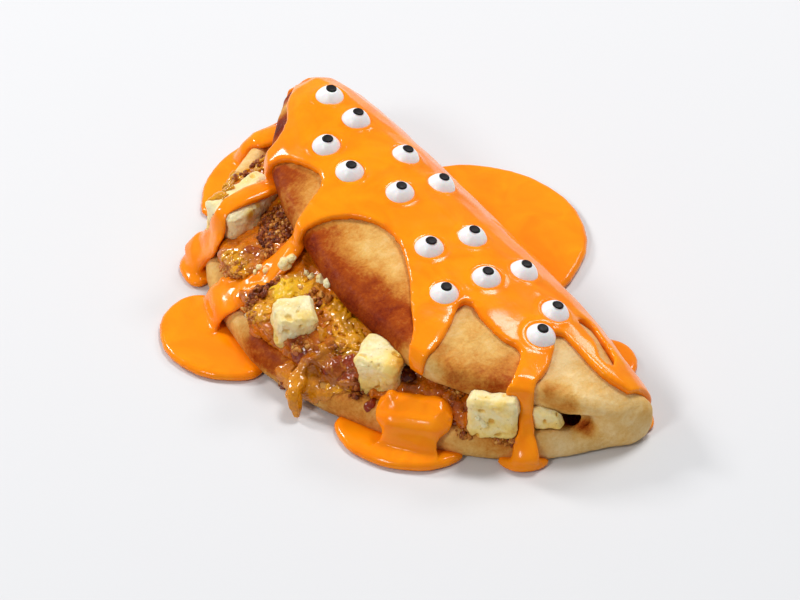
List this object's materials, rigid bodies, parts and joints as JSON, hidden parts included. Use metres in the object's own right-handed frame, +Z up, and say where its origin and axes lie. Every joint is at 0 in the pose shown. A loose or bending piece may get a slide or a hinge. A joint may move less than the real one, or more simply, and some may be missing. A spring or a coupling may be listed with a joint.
{
  "type": "dessert calzone",
  "caption": "Folded sweet dough calzone with caramel and cheesecake filling, poured orange icing and sugar eyes, resting in icing puddles.",
  "frame": {"origin": "on the flat underside of the dough, below the middle of the fold's span", "axes": "+X along the fold, from the open far end to the pressed end; -Y out of the mouth; +Z up"},
  "size_m": [0.229, 0.1729, 0.0583],
  "materials": {
    "baked_dough": "soft baked dough, pale gold with brown blotches",
    "caramel": "glossy, translucent",
    "cheesecake": "satin, finely porous",
    "orange_icing": "glossy poured icing",
    "sugar_eye": "smooth white sugar with a black pupil"
  },
  "bodies": {
    "root": {"folded_crust": "baked_dough", "caramel_filling": "caramel", "caramel_drip": "caramel", "cheesecake_piece_01": "cheesecake", "cheesecake_piece_02": "cheesecake", "cheesecake_piece_03": "cheesecake", "cheesecake_piece_04": "cheesecake", "cheesecake_piece_05": "cheesecake", "icing_top": "orange_icing", "icing_run_left": "orange_icing", "icing_run_corner": "orange_icing", "icing_run_far": "orange_icing", "icing_run_front": "orange_icing", "icing_puddle_left": "orange_icing", "icing_puddle_corner": "orange_icing", "icing_puddle_far": "orange_icing", "icing_puddle_front": "orange_icing", "icing_puddle_right": "orange_icing", "icing_puddle_end": "orange_icing", "icing_puddle_side": "orange_icing", "icing_puddle_back": "orange_icing", "sugar_eye_01": "sugar_eye", "sugar_eye_02": "sugar_eye", "sugar_eye_03": "sugar_eye", "sugar_eye_04": "sugar_eye", "sugar_eye_05": "sugar_eye", "sugar_eye_06": "sugar_eye", "sugar_eye_07": "sugar_eye", "sugar_eye_08": "sugar_eye", "sugar_eye_09": "sugar_eye", "sugar_eye_10": "sugar_eye", "sugar_eye_11": "sugar_eye", "sugar_eye_12": "sugar_eye", "sugar_eye_13": "sugar_eye", "sugar_eye_14": "sugar_eye"}
  },
  "joints": []
}
